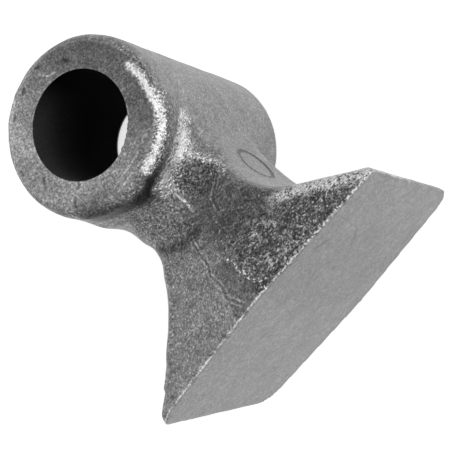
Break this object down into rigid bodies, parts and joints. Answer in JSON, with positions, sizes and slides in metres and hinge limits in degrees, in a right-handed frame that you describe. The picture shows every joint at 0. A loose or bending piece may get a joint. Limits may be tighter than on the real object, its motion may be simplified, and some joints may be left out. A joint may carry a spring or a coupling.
{
  "type": "crusher hammer",
  "caption": "Forged steel swing hammer: a bored tubular eye, a waisted neck and a T-shaped head that flares to a flat strike face with thin tips.",
  "frame": {"origin": "middle of the bore, on its axis", "axes": "+Z along the bore's axis, -Y along the arm from the bore to the strike face, X along the long side of the head; the hammer lies on the lower end of its eye"},
  "size_m": [0.074, 0.0815, 0.0682],
  "materials": {
    "forged_steel": "rough forged and shot-blasted, with a few trimmed and ground places"
  },
  "bodies": {
    "root": {"hammer": "forged_steel"}
  },
  "joints": []
}
